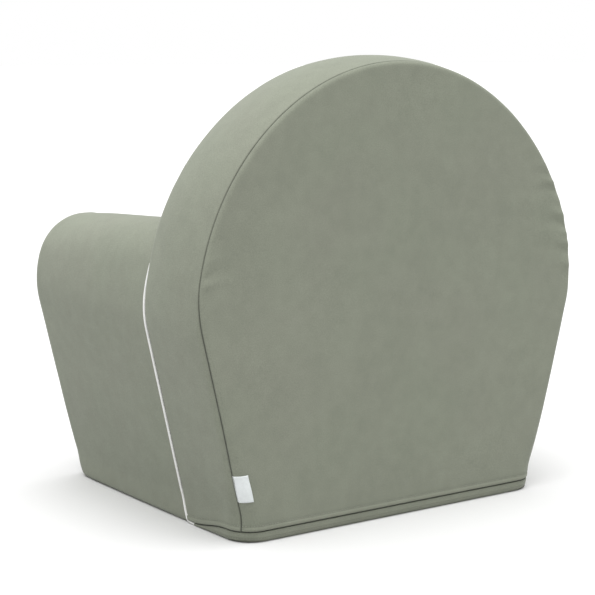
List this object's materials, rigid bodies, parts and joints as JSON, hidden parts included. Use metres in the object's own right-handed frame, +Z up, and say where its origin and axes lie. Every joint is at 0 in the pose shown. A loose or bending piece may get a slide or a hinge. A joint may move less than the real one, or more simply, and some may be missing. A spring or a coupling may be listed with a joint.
{
  "type": "child's foam armchair",
  "caption": "Small round-backed foam armchair for a child: thick back slab, two rolled arms and a seat in a sewn fabric cover with piping and a zip round the foot of the back.",
  "frame": {"origin": "on the floor, at the middle of the chair's footprint", "axes": "+Z up, -Y the way the sitter faces, +X to the sitter's left"},
  "size_m": [0.5238, 0.3805, 0.508],
  "materials": {
    "foam": "matte",
    "cover_fabric": "matte",
    "piping_cord": "satin",
    "label_tape": "satin",
    "zip_tape": "matte",
    "zip_nylon": "satin",
    "zip_metal": "satin"
  },
  "bodies": {
    "chair": {"foam_back": "foam", "foam_seat": "foam", "foam_arm_left": "foam", "foam_arm_right": "foam", "cover_rear_panel": "cover_fabric", "cover_back_boxing": "cover_fabric", "cover_inner_back": "cover_fabric", "cover_arm_left": "cover_fabric", "cover_arm_right": "cover_fabric", "cover_seat": "cover_fabric", "cover_front": "cover_fabric", "cover_base": "cover_fabric", "piping": "piping_cord", "side_label": "label_tape", "zip_tape_upper": "zip_tape", "zip_tape_lower": "zip_tape", "zip_teeth_upper": "zip_nylon", "zip_teeth_lower": "zip_nylon", "zip_end_stops": "zip_metal"},
    "slider": {"zip_slider": "zip_metal"},
    "pull": {"zip_pull": "zip_metal"}
  },
  "joints": [
    {"name": "zip_run", "type": "slide", "parent": "chair", "child": "slider", "axis": [0, 1, 0], "range_m": [0, 0.07]},
    {"name": "pull_swing", "type": "hinge", "parent": "slider", "child": "pull", "pos_m": [-0.2123, 0.08529, 0.0131], "axis": [0, 0, 1], "range_deg": [0, 165]}
  ]
}
